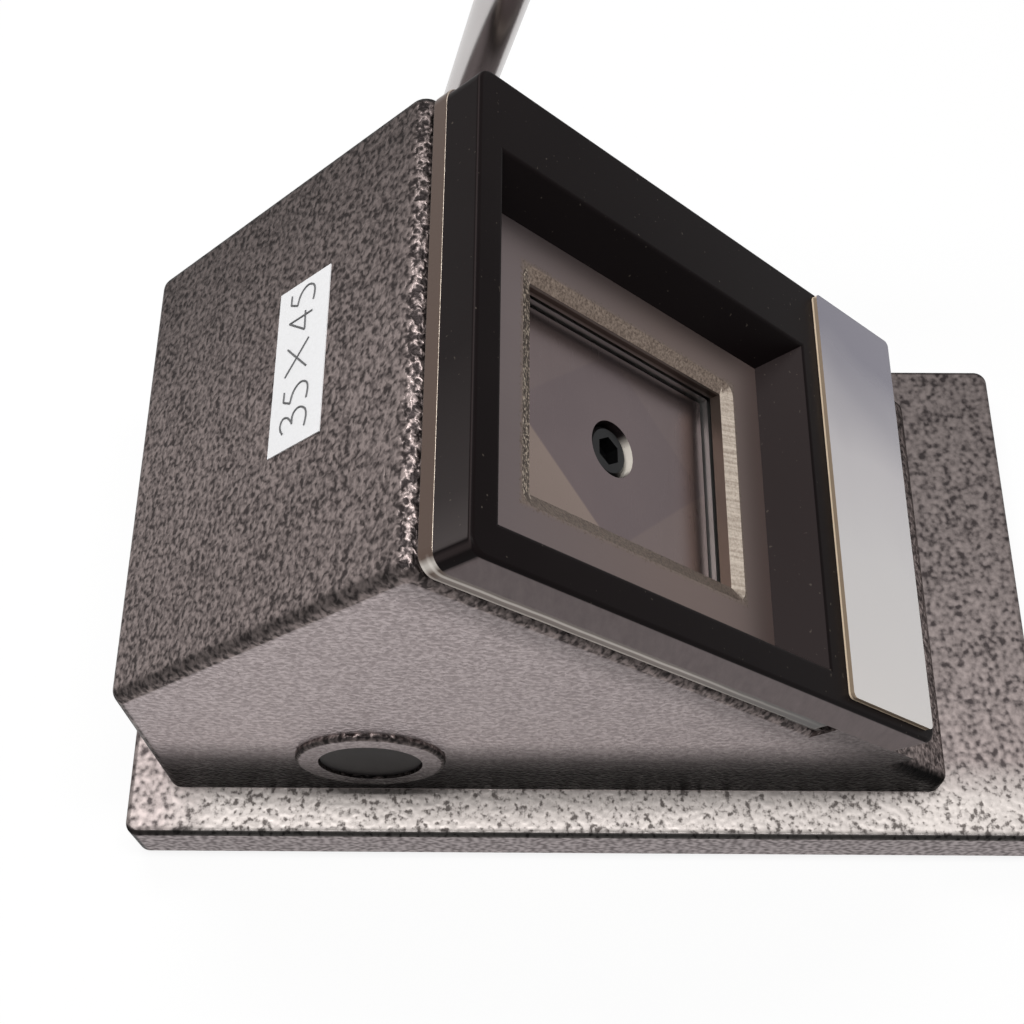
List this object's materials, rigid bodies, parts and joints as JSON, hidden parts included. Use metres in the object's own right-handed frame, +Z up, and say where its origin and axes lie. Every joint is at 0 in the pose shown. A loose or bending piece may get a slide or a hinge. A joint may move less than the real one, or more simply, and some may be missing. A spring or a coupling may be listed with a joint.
{
  "type": "card cutter",
  "caption": "Bench card cutter: a side lever drives a punch up through a slot and steel die in a sloping panel on a flat base.",
  "frame": {"origin": "centre of the underside of the rubber pad that the machine rests on", "axes": "+X to the lever side, +Y to the rear, +Z up; the sloping panel faces -Y and up"},
  "size_m": [0.1138, 0.167, 0.1946],
  "materials": {
    "hammertone_paint": "hammertone baked enamel, grey-brown with dark worm-like specks, glossy",
    "black_frame": "satin black, lightly dusty",
    "tool_steel": "ground tool steel, brownish grey, fine cut marks",
    "machined_steel": "turned and milled steel, lightly oiled",
    "black_oxide": "black oxide fasteners",
    "zinc": "zinc plated fasteners and clips",
    "bronze": "plain bearing bronze",
    "spring_steel": "spring wire",
    "chrome_plate": "polished chrome",
    "black_knob": "moulded black plastic, glossy",
    "dark_plug": "dark moulded plug",
    "plate_face": "bare polished plate",
    "pale_adhesive": "pale mounting sheet",
    "white_label": "white paper label with plain black numerals",
    "rubber_black": "ribbed anti-slip rubber"
  },
  "bodies": {
    "frame": {"rubber_pad": "rubber_black", "base_plate": "hammertone_paint", "base_screws": "zinc", "housing": "hammertone_paint", "guide_plate": "machined_steel", "guide_plate_screws": "black_oxide", "guide_posts": "machined_steel", "slot_shim": "machined_steel", "die_plate": "tool_steel", "die_plate_screws": "black_oxide", "bezel": "black_frame", "bezel_screws": "black_oxide", "bezel_dowels": "machined_steel", "nameplate_adhesive": "pale_adhesive", "nameplate": "plate_face", "size_label": "white_label", "front_return_spring": "spring_steel", "rear_return_spring": "spring_steel", "left_bush": "bronze", "right_bush": "bronze", "shaft_cap": "dark_plug"},
    "lever": {"cross_shaft": "machined_steel", "pinion": "machined_steel", "pinion_pin": "spring_steel", "retaining_ring": "spring_steel", "thrust_washer": "bronze", "lever_hub": "chrome_plate", "hub_set_screw": "black_oxide", "lever_rod": "chrome_plate", "lever_knob": "black_knob"},
    "punch": {"punch": "tool_steel", "punch_screw": "black_oxide", "punch_holder": "machined_steel", "punch_dowels": "machined_steel", "guide_bushes": "bronze", "rack": "machined_steel", "rack_screws": "black_oxide"}
  },
  "joints": [
    {"name": "lever_turn", "type": "hinge", "parent": "frame", "child": "lever", "pos_m": [0, 0.0379, 0.032], "axis": [1, 0, 0], "range_deg": [0, 40]},
    {"name": "punch_stroke", "type": "slide", "parent": "frame", "child": "punch", "axis": [0, -0.7071, 0.7071], "range_m": [0, 0.007], "stiffness_N_per_m": 2500, "springref_m": -0.006, "deforming": ["front_return_spring", "rear_return_spring"]}
  ],
  "couplings": [
    {"joint": "punch_stroke", "follows": "lever_turn", "m_per_rad": 0.01}
  ]
}
